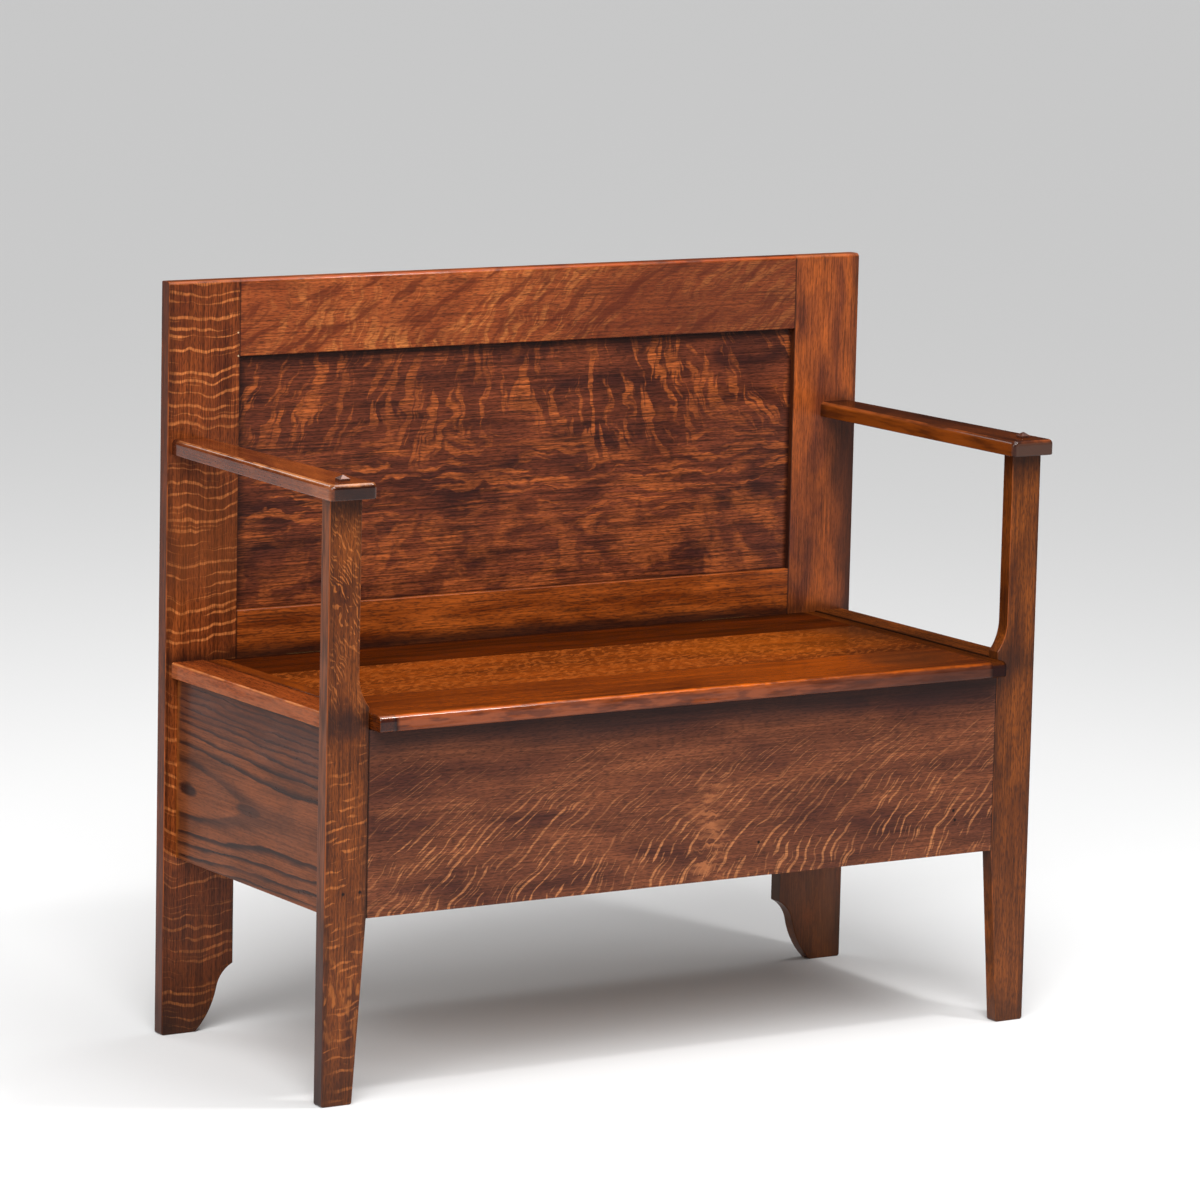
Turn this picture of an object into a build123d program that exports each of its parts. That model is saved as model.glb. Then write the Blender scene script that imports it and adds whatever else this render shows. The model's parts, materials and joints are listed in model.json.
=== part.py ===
from build123d import *
import os

# A mission hall settle in quarter-sawn oak: a framed back on two shaped stiles, two plank
# front legs, a box under a lift-up lid, and two flat arms. Millimetres, +Z up, X across,
# +Y towards the back, origin on the floor at the middle of the outer box.

# Stock and overall sizes
board = 19.0                 # thickness of every show board
height = 914.0               # floor to the top of the back
back_width = 990.0           # over the two back stiles
seat_height = 457.0          # floor to the top of the lid
box_floor = 218.0            # floor to the lower edge of the box
box_depth = 398.0            # front face of the back to the front face of the legs
lid_overhang = 22.5          # lid in front of the legs

# Back frame
stile_width = 96.0
top_rail_height = 92.5
bottom_rail_height = 92.5
bottom_rail_show = 57.0      # bottom rail above the seat
tenon_length = 38.0
tenon_shoulder = 12.0        # wood above and below a tenon
panel_recess = 7.0           # panel face behind the frame face
panel_thickness = 6.0
groove_depth = 9.0
panel_float = 0.9            # room for the panel to move across its groove
slip = 0.1                   # clearance of a glued or sliding wood fit
foot_height = 80.5
foot_width = 46.0            # back foot where it meets the floor
foot_round = 3.5             # worn corners of all four feet, seen from the front
top_round = 5.0              # worn round along the top of the back, in front
back_round = 2.0             # and behind
arris = 1.2                  # softened edge of a show board

# Front legs
leg_proud = 2.5              # leg outside the stile's edge
leg_width = 55.5             # beside the box
leg_upper_width = 42.0       # from the seat to the arm
leg_foot_width = 40.0
leg_shoulder = 8.0           # top of the wide part above the seat
leg_curve_height = 38.0

# Box
end_panel_inset = 17.0       # end panel inside the stile's edge
cap_overhang = 8.5           # cap strip outside the end panel
cap_round = 3.0
ledger_height = 19.0
ledger_bearing = 13.0        # width of the ledger under the lid
cleat_section = 19.0
bottom_thickness = 12.7
bottom_board_count = 3
bottom_gap = 0.5             # between and around the bottom boards
corner_block_section = 19.0

# Lid
lid_gap = 2.0                # between the lid's end and the leg or cap strip
lid_back_gap = 5.6           # between the lid's back edge and the back frame
lid_cleat_width = 21.0
lid_front_board_width = 122.0
lid_middle_board_width = 180.0
lid_tongue = 8.0             # tongue of the lid boards in the end cleats
lid_tongue_thickness = 6.0
lid_tongue_stop = 14.0       # tongue ends this far from the lid's front and back
lid_nose_top = 7.5           # worn nose of the lid, above
lid_nose_bottom = 3.0        # and below

# Arms
arm_top = 726.5
arm_thickness = 19.0
arm_front_overhang = 17.0    # in front of the leg
arm_outer_overhang = 8.0     # outside the leg, at the front
arm_inner_overhang = 11.5    # inside the leg's upper part, at the front
arm_back_inset = 6.0         # inside the stile's edge, at the back
arm_corner = 7.5
arm_round = 6.0
peg_side = 12.5              # square peg through the arm into the leg
peg_straight = 3.0
peg_point = 4.0
peg_tip = 1.6
peg_in_leg = 30.0
peg_arris = 0.5

# Dowels
dowel_diameter = 9.5
apron_dowel_length = 50.0
apron_dowel_count = 3
apron_dowel_margin = 40.0    # outermost dowel to the edge of the front panel
arm_dowel_in_stile = 14.0
arm_dowel_in_arm = 36.0
arm_dowel_spacing = 24.0

# Hinges
hinge_count = 2
hinge_inset = 99.0           # middle of a hinge to the shoulder of the bottom rail
leaf_length = 64.0
fixed_leaf_height = 22.0
moving_leaf_height = 14.5
leaf_thickness = 1.5
knuckle_radius = 2.5
knuckle_count = 5
knuckle_gap = 0.2
knuckle_relief = 0.4
pin_radius = 1.25
pin_fit = 0.05               # radial running fit of the moving knuckles
pin_stand = 0.8              # pin end beyond the knuckles
barrel_gap = 0.3             # barrel to the face of the back frame

# Screws and nails
hinge_screw_length = 15.0
hinge_screw_diameter = 3.2
hinge_screw_head = 6.4
hinge_screw_spacing = 22.0
hinge_screw_count = 3
block_screw_length = 32.0
block_screw_diameter = 4.2
block_screw_head = 8.0
block_screw_inset = 30.0     # screw to the end of a corner block
block_screw_count = 2        # through a block into the leg or stile
block_side_screw_count = 1   # through a block into the end panel
long_cleat_screw_count = 3
end_cleat_screw_count = 2
ledger_screw_count = 3
cleat_screw_margin = 70.0    # outermost screw to the end of a cleat or ledger
ledger_screw_cover = 5.0     # wood left beyond a ledger screw's point
slot_width = 1.0
slot_depth = 0.9
nail_diameter = 2.4
nail_head_diameter = 5.0
nail_head_thickness = 1.0
nail_length = 28.0
nail_margin = 30.0           # nail to the edge of a bottom board
board_nail_count = 2
overrun = 5.0                # how far a cutting shape passes the face it leaves

# Worked out from the sizes above
depth = board + box_depth + lid_overhang
back_y = depth / 2
face_y = back_y - board                      # front face of the back frame
leg_front_y = face_y - box_depth
leg_back_y = leg_front_y + board
stile_outer = back_width / 2
stile_inner = stile_outer - stile_width
leg_outer = stile_outer + leg_proud
leg_inner = leg_outer - leg_width
leg_upper_inner = leg_outer - leg_upper_width
lid_bottom = seat_height - board
bottom_rail_top = seat_height + bottom_rail_show
bottom_rail_bottom = bottom_rail_top - bottom_rail_height
top_rail_bottom = height - top_rail_height
groove_y0 = face_y + panel_recess
groove_y1 = groove_y0 + panel_thickness
end_outer = stile_outer - end_panel_inset
end_inner = end_outer - board
cap_outer = end_outer + cap_overhang
cap_inner = leg_inner
lid_half = leg_inner - lid_gap
lid_front_y = leg_front_y - lid_overhang
lid_back_y = face_y - lid_back_gap
ledger_inner = lid_half - ledger_bearing
ledger_bottom = lid_bottom - ledger_height
floor_board_bottom = box_floor + cleat_section
floor_board_top = floor_board_bottom + bottom_thickness
arm_bottom = arm_top - arm_thickness
arm_front_y = leg_front_y - arm_front_overhang
leg_mid_x = leg_outer - leg_upper_width / 2
leg_mid_y = leg_front_y + board / 2
hinge_y = face_y - barrel_gap - knuckle_radius
hinge_z = seat_height - knuckle_radius

nodes = {}


def squared(x0, x1, y0, y1, z0, z1):
    """A squared board between six faces."""
    middle = Pos((x0 + x1) / 2, (y0 + y1) / 2, (z0 + z1) / 2)
    return middle * Box(x1 - x0, y1 - y0, z1 - z0)


def other_side(solid):
    """The same piece on the other side of the settle."""
    return mirror(solid, about=Plane.YZ)


def both_sides(name, right):
    """Files a piece of the right side and its mirror image."""
    nodes[name + "_right"] = right
    nodes[name + "_left"] = other_side(right)


def edges_where(solid, test):
    """The edges whose middle passes a test."""
    return [edge for edge in solid.edges() if test(edge @ (1 / 2))]


def near(a, b):
    return abs(a - b) < slip / 2


def upright(lines, y_front, thickness):
    """A board cut to an outline in the XZ plane, with worn foot corners, from its front face backwards."""
    face = make_face(lines)
    face = fillet([corner for corner in face.vertices() if near(corner.Y, 0)], foot_round)
    return Pos(0, y_front + thickness, 0) * extrude(Plane.XZ * face, thickness)


def spread(count, margin, low, high):
    """Evenly spaced places between two ends, the outer ones a margin inside."""
    start, stop = low + margin, high - margin
    if count == 1:
        return [(start + stop) / 2]
    return [start + (stop - start) * step / (count - 1) for step in range(count)]


# Back frame
ogee_shares = [(0.73, 0.863), (0.57, 0.646), (0.40, 0.342)]


def foot_point(shares):
    """A point of the foot's ogee, from shares of its width and height."""
    inward = foot_width + (stile_width - foot_width) * shares[0]
    return (stile_outer - inward, foot_height * shares[1])


def back_stile():
    cove, turn, hollow = [foot_point(shares) for shares in ogee_shares]
    top_of_foot = foot_point((1, 1))
    floor_end = foot_point((0, 0))
    outline = [
        Polyline((stile_inner, height), (stile_outer, height), (stile_outer, 0), floor_end),
        ThreePointArc(floor_end, hollow, turn),
        ThreePointArc(turn, cove, top_of_foot),
        Line(top_of_foot, (stile_inner, height)),
    ]
    stile = upright(outline, face_y, board)
    stile = rounded_top(stile)
    show = edges_where(stile, lambda p: (near(p.Y, face_y) or near(p.Y, back_y))
                       and (p.X > stile_inner + slip or p.Z < foot_height) and p.Z < height - top_round)
    stile = fillet(show, arris)
    groove = squared(stile_inner - overrun, stile_inner + groove_depth,
                     groove_y0 - slip, groove_y1 + slip, box_floor, top_rail_bottom + groove_depth)
    stile -= groove
    for low, high in rail_tenon_heights():
        stile -= squared(stile_inner - overrun, stile_inner + tenon_length + slip,
                         groove_y0 - slip, groove_y1 + slip, low - slip, high + slip)
    return stile


def rounded_top(board_end):
    """Rounds the top of a stile or rail, in front and behind."""
    front = edges_where(board_end, lambda p: near(p.Z, height) and near(p.Y, face_y))
    board_end = fillet(front, top_round)
    behind = edges_where(board_end, lambda p: near(p.Z, height) and near(p.Y, back_y))
    return fillet(behind, back_round)


def rail_tenon_heights():
    """Lower and upper edge of the tenons of the two rails."""
    return [(bottom_rail_bottom + tenon_shoulder, bottom_rail_top - tenon_shoulder),
            (top_rail_bottom + tenon_shoulder, height - tenon_shoulder)]


def rail(low, high, tenon):
    """A rail between the stiles with a tenon at each end."""
    body = squared(-stile_inner, stile_inner, face_y, back_y, low, high)
    if near(high, height):
        body = rounded_top(body)
    panel_side = low if near(high, height) else high
    body = fillet(edges_where(body, lambda p: near(p.Z, panel_side) and near(p.Y, face_y)), arris)
    reach = stile_inner + tenon_length
    return body + squared(-reach, reach, groove_y0, groove_y1, tenon[0], tenon[1])


def long_groove(z_edge, z_end):
    """The groove along a rail's edge, from the edge to its bottom."""
    return squared(-stile_inner, stile_inner, groove_y0 - slip, groove_y1 + slip,
                   min(z_edge, z_end), max(z_edge, z_end))


def back_frame():
    both_sides("back_stile", back_stile())
    lower, upper = rail_tenon_heights()
    top_rail = rail(top_rail_bottom, height, upper)
    nodes["back_top_rail"] = top_rail - long_groove(top_rail_bottom, top_rail_bottom + groove_depth)
    bottom_rail = rail(bottom_rail_bottom, bottom_rail_top, lower)
    bottom_rail -= long_groove(bottom_rail_top - groove_depth, bottom_rail_top)
    bottom_rail -= long_groove(bottom_rail_bottom, bottom_rail_bottom + groove_depth)
    nodes["back_bottom_rail"] = bottom_rail
    edge = groove_depth - panel_float
    nodes["back_panel"] = squared(-stile_inner - edge, stile_inner + edge, groove_y0, groove_y1,
                                  bottom_rail_top - edge, top_rail_bottom + edge)
    box_back = squared(-stile_inner, stile_inner, face_y, back_y, box_floor, bottom_rail_bottom)
    box_back += squared(-stile_inner - edge, stile_inner + edge, groove_y0, groove_y1,
                        box_floor + slip, bottom_rail_bottom + slip)
    box_back += squared(-stile_inner, stile_inner, groove_y0, groove_y1,
                        box_floor, bottom_rail_bottom + edge)
    nodes["box_back"] = box_back


# Front legs and arms
def front_leg():
    curve_low = seat_height + leg_shoulder
    curve_high = curve_low + leg_curve_height
    outline = [
        Polyline((leg_upper_inner, curve_high), (leg_upper_inner, arm_bottom), (leg_outer, arm_bottom),
                 (leg_outer, 0), (leg_outer - leg_foot_width, 0), (leg_inner, box_floor),
                 (leg_inner, curve_low)),
        TangentArc((leg_upper_inner, curve_high), (leg_inner, curve_low), tangent=(0, -1)),
    ]
    leg = upright(outline, leg_front_y, board)
    show = edges_where(leg, lambda p: (near(p.Y, leg_front_y) or near(p.Y, leg_back_y))
                       and p.Z < arm_bottom - slip)
    return fillet(show, arris)


def arm():
    inner_front = leg_upper_inner - arm_inner_overhang
    outer_front = leg_outer + arm_outer_overhang
    outer_back = stile_outer - arm_back_inset
    plan = Polyline((leg_inner, face_y), (outer_back, face_y), (outer_front, arm_front_y),
                    (inner_front, arm_front_y), (leg_inner, face_y))
    solid = Pos(0, 0, arm_bottom) * extrude(make_face(plan), arm_thickness)
    arm_middle = arm_bottom + arm_thickness / 2
    corners = edges_where(solid, lambda p: near(p.Y, arm_front_y) and near(p.Z, arm_middle))
    solid = fillet(corners, arm_corner)
    show = edges_where(solid, lambda p: (near(p.Z, arm_top) or near(p.Z, arm_bottom))
                       and p.Y < face_y - slip)
    upper = [edge for edge in show if near((edge @ 0).Z, arm_top)]
    solid = fillet(upper, arm_round)
    lower = edges_where(solid, lambda p: near(p.Z, arm_bottom) and p.Y < face_y - slip)
    return fillet(lower, arris)


def arm_peg():
    """A square peg with a low pyramid point, standing through the arm into the leg."""
    shaft_bottom = arm_bottom - peg_in_leg
    shaft_top = arm_top + peg_straight
    shaft = squared(leg_mid_x - peg_side / 2, leg_mid_x + peg_side / 2,
                    leg_mid_y - peg_side / 2, leg_mid_y + peg_side / 2, shaft_bottom, shaft_top)
    base = Pos(leg_mid_x, leg_mid_y, shaft_top) * Rectangle(peg_side, peg_side)
    tip = Pos(leg_mid_x, leg_mid_y, shaft_top + peg_point) * Rectangle(peg_tip, peg_tip)
    peg = shaft + loft([base, tip])
    return fillet(edges_where(peg, lambda p: p.Z > shaft_top - slip), peg_arris)


def legs_and_arms():
    leg, rest, peg = front_leg(), arm(), arm_peg()
    both_sides("front_leg", leg - peg)
    both_sides("arm", rest - peg)
    both_sides("arm_peg", peg)


# Box
def box_boards():
    nodes["front_panel"] = squared(-leg_inner, leg_inner, leg_front_y, leg_back_y, box_floor, lid_bottom)
    end = squared(end_inner, end_outer, leg_back_y, face_y, box_floor, lid_bottom)
    end = fillet(edges_where(end, lambda p: near(p.X, end_outer) and near(p.Z, box_floor)), arris)
    both_sides("end_panel", end)
    cap = squared(cap_inner, cap_outer, leg_back_y, face_y, lid_bottom, seat_height)
    cap = fillet(edges_where(cap, lambda p: near(p.X, cap_outer) and near(p.Z, seat_height)), cap_round)
    cap = fillet(edges_where(cap, lambda p: near(p.X, cap_outer) and near(p.Z, lid_bottom)), arris)
    cap = fillet(edges_where(cap, lambda p: near(p.X, cap_inner) and near(p.Z, seat_height)), arris)
    both_sides("cap_strip", cap)
    ledger = squared(ledger_inner, end_inner, leg_back_y, face_y, ledger_bottom, lid_bottom)
    both_sides("lid_ledger", ledger)
    block = squared(end_inner - corner_block_section, end_inner, leg_back_y,
                    leg_back_y + corner_block_section, floor_board_top, ledger_bottom)
    both_sides("corner_block_front", block)
    both_sides("corner_block_back", Pos(0, face_y - leg_back_y - corner_block_section, 0) * block)


def box_bottom():
    cleat_inner = end_inner - cleat_section
    both_sides("bottom_cleat_end", squared(cleat_inner, end_inner, leg_back_y, face_y,
                                           box_floor, floor_board_bottom))
    nodes["bottom_cleat_front"] = squared(-cleat_inner, cleat_inner, leg_back_y,
                                          leg_back_y + cleat_section, box_floor, floor_board_bottom)
    nodes["bottom_cleat_back"] = squared(-cleat_inner, cleat_inner, face_y - cleat_section, face_y,
                                         box_floor, floor_board_bottom)
    pitch = (face_y - leg_back_y - bottom_gap) / bottom_board_count
    reach = end_inner - bottom_gap
    for number in range(bottom_board_count):
        start = leg_back_y + bottom_gap + number * pitch
        nodes[f"bottom_board_{number + 1}"] = squared(-reach, reach, start, start + pitch - bottom_gap,
                                                      floor_board_bottom, floor_board_top)


# Lid
def lid():
    seams = [lid_front_y, lid_front_y + lid_front_board_width,
             lid_front_y + lid_front_board_width + lid_middle_board_width, lid_back_y]
    board_end = lid_half - lid_cleat_width
    tongue_z0 = seat_height - board / 2 - lid_tongue_thickness / 2
    tongue_z1 = tongue_z0 + lid_tongue_thickness
    stops = (lid_front_y + lid_tongue_stop, lid_back_y - lid_tongue_stop)
    for name, start, end in zip(("front", "middle", "back"), seams, seams[1:]):
        plank = squared(-board_end, board_end, start, end, lid_bottom, seat_height)
        if name == "front":
            plank = nosed(plank)
        reach = board_end + lid_tongue
        plank += squared(-reach, reach, max(start, stops[0]), min(end, stops[1]), tongue_z0, tongue_z1)
        nodes["lid_board_" + name] = plank
    cleat = nosed(squared(board_end, lid_half, lid_front_y, lid_back_y, lid_bottom, seat_height))
    cleat = fillet(edges_where(cleat, lambda p: near(p.X, lid_half) and near(p.Z, seat_height)), arris)
    cleat -= squared(board_end - overrun, board_end + lid_tongue + slip,
                     stops[0] - slip, stops[1] + slip, tongue_z0 - slip, tongue_z1 + slip)
    both_sides("lid_cleat", cleat)


def nosed(piece):
    """Rounds the worn front edge of a lid piece, above and below."""
    upper = edges_where(piece, lambda p: near(p.Y, lid_front_y) and near(p.Z, seat_height))
    piece = fillet(upper, lid_nose_top)
    lower = edges_where(piece, lambda p: near(p.Y, lid_front_y) and near(p.Z, lid_bottom))
    return fillet(lower, lid_nose_bottom)


# Fasteners, each made standing on its point with its head at z = 0, then laid in place
def screw_body(length, diameter, head):
    flare = (head - diameter) / 2
    point = diameter
    parts = Pos(0, 0, -flare / 2) * Cone(diameter / 2, head / 2, flare)
    shank = length - flare - point
    parts += Pos(0, 0, -flare - shank / 2) * Cylinder(diameter / 2, shank)
    parts += Pos(0, 0, -length + point / 2) * Cone(0, diameter / 2, point)
    return parts


def slotted(screw, head):
    return screw - Box(head + overrun, slot_width, slot_depth * 2)


def nail_body():
    shank = nail_length - nail_head_thickness
    body = Pos(0, 0, -nail_head_thickness / 2) * Cylinder(nail_head_diameter / 2, nail_head_thickness)
    return body + Pos(0, 0, -nail_head_thickness - shank / 2) * Cylinder(nail_diameter / 2, shank)


def meets(box, other):
    """Whether two bounding boxes share any room."""
    return (box.min.X < other.max.X and box.max.X > other.min.X
            and box.min.Y < other.max.Y and box.max.Y > other.min.Y
            and box.min.Z < other.max.Z and box.max.Z > other.min.Z)


def drive(name, places, body, finished, through):
    """Drives copies of a fastener in at a list of places and cuts their holes."""
    for node in through:
        for place in places:
            tool = place * body
            if meets(tool.bounding_box(), nodes[node].bounding_box()):
                nodes[node] -= tool
    nodes[name] = Compound(children=[place * finished for place in places])


FACING = {
    "+X": lambda x, y, z: Pos(x, y, z) * Rot(0, -90, 0),
    "-X": lambda x, y, z: Pos(x, y, z) * Rot(0, 90, 0),
    "+Y": lambda x, y, z: Pos(x, y, z) * Rot(90, 0, 0),
    "-Y": lambda x, y, z: Pos(x, y, z) * Rot(-90, 0, 0),
    "-Z": lambda x, y, z: Pos(x, y, z),
}


def towards(direction, x, y, z):
    """Where a fastener driven in one direction has the middle of its head."""
    return FACING[direction](x, y, z)


def box_screws():
    body = screw_body(block_screw_length, block_screw_diameter, block_screw_head)
    screw = slotted(body, block_screw_head)
    section = corner_block_section
    places = []
    for side, inward in ((1, "+X"), (-1, "-X")):
        for y_low, out in ((leg_back_y, "-Y"), (face_y - section, "+Y")):
            y_head = y_low + section if out == "-Y" else y_low
            for z in spread(block_screw_count, block_screw_inset, floor_board_top, ledger_bottom):
                places.append(towards(out, side * (end_inner - section / 2), y_head, z))
            for z in spread(block_side_screw_count, block_screw_inset, floor_board_top, ledger_bottom):
                places.append(towards(inward, side * (end_inner - section), y_low + section / 2, z))
    joined = ("corner_block_front", "corner_block_back", "end_panel", "front_leg", "back_stile")
    walls = [f"{piece}_{side}" for side in ("left", "right") for piece in joined]
    drive("corner_block_screws", places, body, screw, walls + ["front_panel"])

    places = []
    z = box_floor + cleat_section / 2
    for x in spread(long_cleat_screw_count, cleat_screw_margin, cleat_section - end_inner,
                    end_inner - cleat_section):
        places.append(towards("-Y", x, leg_back_y + cleat_section, z))
        places.append(towards("+Y", x, face_y - cleat_section, z))
    for y in spread(end_cleat_screw_count, cleat_screw_margin, leg_back_y, face_y):
        places.append(towards("+X", end_inner - cleat_section, y, z))
        places.append(towards("-X", cleat_section - end_inner, y, z))
    drive("bottom_cleat_screws", places, body, screw,
          ["bottom_cleat_front", "bottom_cleat_back", "bottom_cleat_end_left", "bottom_cleat_end_right",
           "front_panel", "box_back", "end_panel_left", "end_panel_right"])


def ledger_screws():
    length = board + end_inner - ledger_inner - ledger_screw_cover
    body = screw_body(length, block_screw_diameter, block_screw_head)
    places = []
    for y in spread(ledger_screw_count, cleat_screw_margin, leg_back_y, face_y):
        places.append(towards("+X", ledger_inner, y, ledger_bottom + ledger_height / 2))
        places.append(towards("-X", -ledger_inner, y, ledger_bottom + ledger_height / 2))
    drive("lid_ledger_screws", places, body, slotted(body, block_screw_head),
          ["lid_ledger_left", "lid_ledger_right", "end_panel_left", "end_panel_right"])


def bottom_nails():
    body = nail_body()
    pitch = (face_y - leg_back_y - bottom_gap) / bottom_board_count
    places = []
    for number in range(bottom_board_count):
        start = leg_back_y + bottom_gap + number * pitch
        for y in spread(board_nail_count, nail_margin, start, start + pitch - bottom_gap):
            for side in (1, -1):
                places.append(towards("-Z", side * (end_inner - cleat_section / 2), y, floor_board_top))
    through = [f"bottom_board_{number + 1}" for number in range(bottom_board_count)]
    drive("bottom_nails", places, body, body,
          through + ["bottom_cleat_end_left", "bottom_cleat_end_right"])


# Dowels
def dowel(direction, x, y, z, length):
    """A dowel whose middle is at a point."""
    turn = Rot(0, 90, 0) if direction == "X" else Rot(90, 0, 0)
    return Pos(x, y, z) * turn * Cylinder(dowel_diameter / 2, length)


def dowels():
    rods = []
    for z in spread(apron_dowel_count, apron_dowel_margin, box_floor, lid_bottom):
        for side, leg in ((1, "front_leg_right"), (-1, "front_leg_left")):
            rod = dowel("X", side * leg_inner, leg_mid_y, z, apron_dowel_length)
            rods.append(rod)
            nodes[leg] -= rod
            nodes["front_panel"] -= rod
    nodes["front_panel_dowels"] = Compound(children=rods)

    rods = []
    middle = (leg_inner + stile_outer - arm_back_inset) / 2
    for side, hand in ((1, "right"), (-1, "left")):
        for step in (-1, 1):
            rod = dowel("Y", side * (middle + step * arm_dowel_spacing / 2),
                        face_y + (arm_dowel_in_stile - arm_dowel_in_arm) / 2,
                        arm_bottom + arm_thickness / 2, arm_dowel_in_stile + arm_dowel_in_arm)
            rods.append(rod)
            nodes["back_stile_" + hand] -= rod
            nodes["arm_" + hand] -= rod
    nodes["arm_dowels"] = Compound(children=rods)


# Hinges
def knuckle_spans(middle, moving):
    """Start and end of the knuckles of one leaf, counted along the barrel."""
    pitch = leaf_length / knuckle_count
    start = middle - leaf_length / 2
    numbers = range(1, knuckle_count, 2) if moving else range(0, knuckle_count, 2)
    return [(start + number * pitch, start + (number + 1) * pitch) for number in numbers]


def barrel(span, radius, trim):
    """A round along the hinge line over a span, shortened by a trim at each end."""
    length = span[1] - span[0] - 2 * trim
    return Pos((span[0] + span[1]) / 2, hinge_y, hinge_z) * Rot(0, 90, 0) * Cylinder(radius, length)


def leaf(middle, moving):
    low, high = middle - leaf_length / 2, middle + leaf_length / 2
    if moving:
        plate = squared(low, high, lid_back_y, lid_back_y + leaf_thickness,
                        hinge_z - moving_leaf_height, hinge_z)
    else:
        plate = squared(low, high, face_y - leaf_thickness, face_y, hinge_z - fixed_leaf_height, hinge_z)
    for span in knuckle_spans(middle, not moving):
        plate -= barrel(span, knuckle_radius + knuckle_relief, -knuckle_gap / 2)
    for span in knuckle_spans(middle, moving):
        plate += barrel(span, knuckle_radius, knuckle_gap / 2)
    bore = pin_radius + pin_fit if moving else pin_radius
    return plate - barrel((low, high), bore, -overrun)


def hinges():
    body = screw_body(hinge_screw_length, hinge_screw_diameter, hinge_screw_head)
    screw = slotted(body, hinge_screw_head)
    fixed_places, moving_places = [], []
    middles = spread(hinge_count, hinge_inset, -stile_inner, stile_inner)
    for number, middle in enumerate(middles, start=1):
        nodes[f"hinge_{number}_fixed_leaf"] = leaf(middle, False)
        nodes[f"hinge_{number}_moving_leaf"] = leaf(middle, True)
        low, high = middle - leaf_length / 2, middle + leaf_length / 2
        nodes[f"hinge_{number}_pin"] = barrel((low, high), pin_radius, -pin_stand)
        across = (hinge_screw_count - 1) * hinge_screw_spacing
        for x in spread(hinge_screw_count, 0, middle - across / 2, middle + across / 2):
            fixed_places.append(towards("+Y", x, face_y - leaf_thickness,
                                        hinge_z - (fixed_leaf_height + knuckle_radius) / 2))
            moving_places.append(towards("-Y", x, lid_back_y + leaf_thickness,
                                         hinge_z - (moving_leaf_height + knuckle_radius) / 2))
    count = range(1, hinge_count + 1)
    drive("hinge_screws_fixed", fixed_places, body, screw,
          [f"hinge_{n}_fixed_leaf" for n in count] + ["back_bottom_rail"])
    drive("hinge_screws_moving", moving_places, body, screw,
          [f"hinge_{n}_moving_leaf" for n in count] + ["lid_board_back"])


back_frame()
legs_and_arms()
box_boards()
box_bottom()
lid()
dowels()
box_screws()
ledger_screws()
bottom_nails()
hinges()

os.makedirs("parts", exist_ok=True)
for name, solid in nodes.items():
    export_step(solid, f"parts/{name}.step")
print(len(nodes), "nodes written")
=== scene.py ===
import json
import math
import bpy
from mathutils import Matrix, Vector


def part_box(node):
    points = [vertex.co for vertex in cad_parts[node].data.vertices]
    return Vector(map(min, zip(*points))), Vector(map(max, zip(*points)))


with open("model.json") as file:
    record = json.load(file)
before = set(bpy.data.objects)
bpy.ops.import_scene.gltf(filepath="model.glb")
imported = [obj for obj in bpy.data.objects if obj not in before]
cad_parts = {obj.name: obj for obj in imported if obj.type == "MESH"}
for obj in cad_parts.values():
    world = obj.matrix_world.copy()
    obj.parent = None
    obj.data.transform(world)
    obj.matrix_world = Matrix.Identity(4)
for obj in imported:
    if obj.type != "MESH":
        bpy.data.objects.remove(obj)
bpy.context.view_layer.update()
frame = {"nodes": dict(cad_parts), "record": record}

# The look of a hall settle in the mission style: fumed, quarter-sawn oak under old shellac,
# worn pale along its edges, on a pale studio floor. Blender's lengths are metres. Patterns
# are drawn in millimetres: x from the middle, y towards the back, z above the floor.

MM = 0.001


def low(piece):
    """The lowest corner of a piece, in millimetres."""
    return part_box(piece)[0] / MM


def high(piece):
    """The highest corner of a piece, in millimetres."""
    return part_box(piece)[1] / MM


# Places of the boards, in millimetres
stile_inner = low("back_stile_right").x
stile_outer = high("back_stile_right").x
stile_middle = (stile_inner + stile_outer) / 2
stile_half = (stile_outer - stile_inner) / 2
back_face = low("back_stile_right").y
panel_low = high("back_bottom_rail").z
panel_high = low("back_top_rail").z
top = high("back_top_rail").z
seat = high("lid_board_front").z
lid_bottom = low("lid_board_front").z
lid_front = low("lid_board_front").y
lid_end = high("lid_cleat_right").x
cleat_seam = low("lid_cleat_right").x
box_floor = low("front_panel").z
box_half = high("front_panel").x
leg_outer = high("front_leg_right").x
arm_under = low("arm_right").z


# Node building
def tone(code):
    """The linear colour of an sRGB hex value."""
    linear = []
    for start in (0, 2, 4):
        value = int(code[start:start + 2], 16) / 255
        linear.append(value / 12.92 if value <= 0.04045 else ((value + 0.055) / 1.055) ** 2.4)
    return (*linear, 1.0)


def add(tree, kind, *inputs, output=0, sockets=None, **settings):
    """Adds a node with its settings, fills or links its sockets and gives one output."""
    node = tree.nodes.new("ShaderNode" + kind)
    for name, value in settings.items():
        setattr(node, name, value)
    for socket, value in list(enumerate(inputs)) + list((sockets or {}).items()):
        if isinstance(value, bpy.types.NodeSocket):
            tree.links.new(value, node.inputs[socket])
        elif value is not None:
            node.inputs[socket].default_value = value
    return node.outputs[output] if node.outputs else node


# Settings of the nodes that are used most
EVEN = {"interpolation_type": "LINEAR"}
SMOOTH = {"interpolation_type": "SMOOTHSTEP"}
TIMES = {"operation": "MULTIPLY"}
LESS = {"operation": "SUBTRACT"}
MOST = {"operation": "MAXIMUM"}
SCALED = {"operation": "MULTIPLY_ADD"}
SIZE_OF = {"operation": "ABSOLUTE"}
COLOURS = {"data_type": "RGBA", "output": 2}
FIRST, SECOND = 2, 3  # a Mix node's sockets for shares
UNDER, OVER = 6, 7  # its sockets for colours

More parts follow.
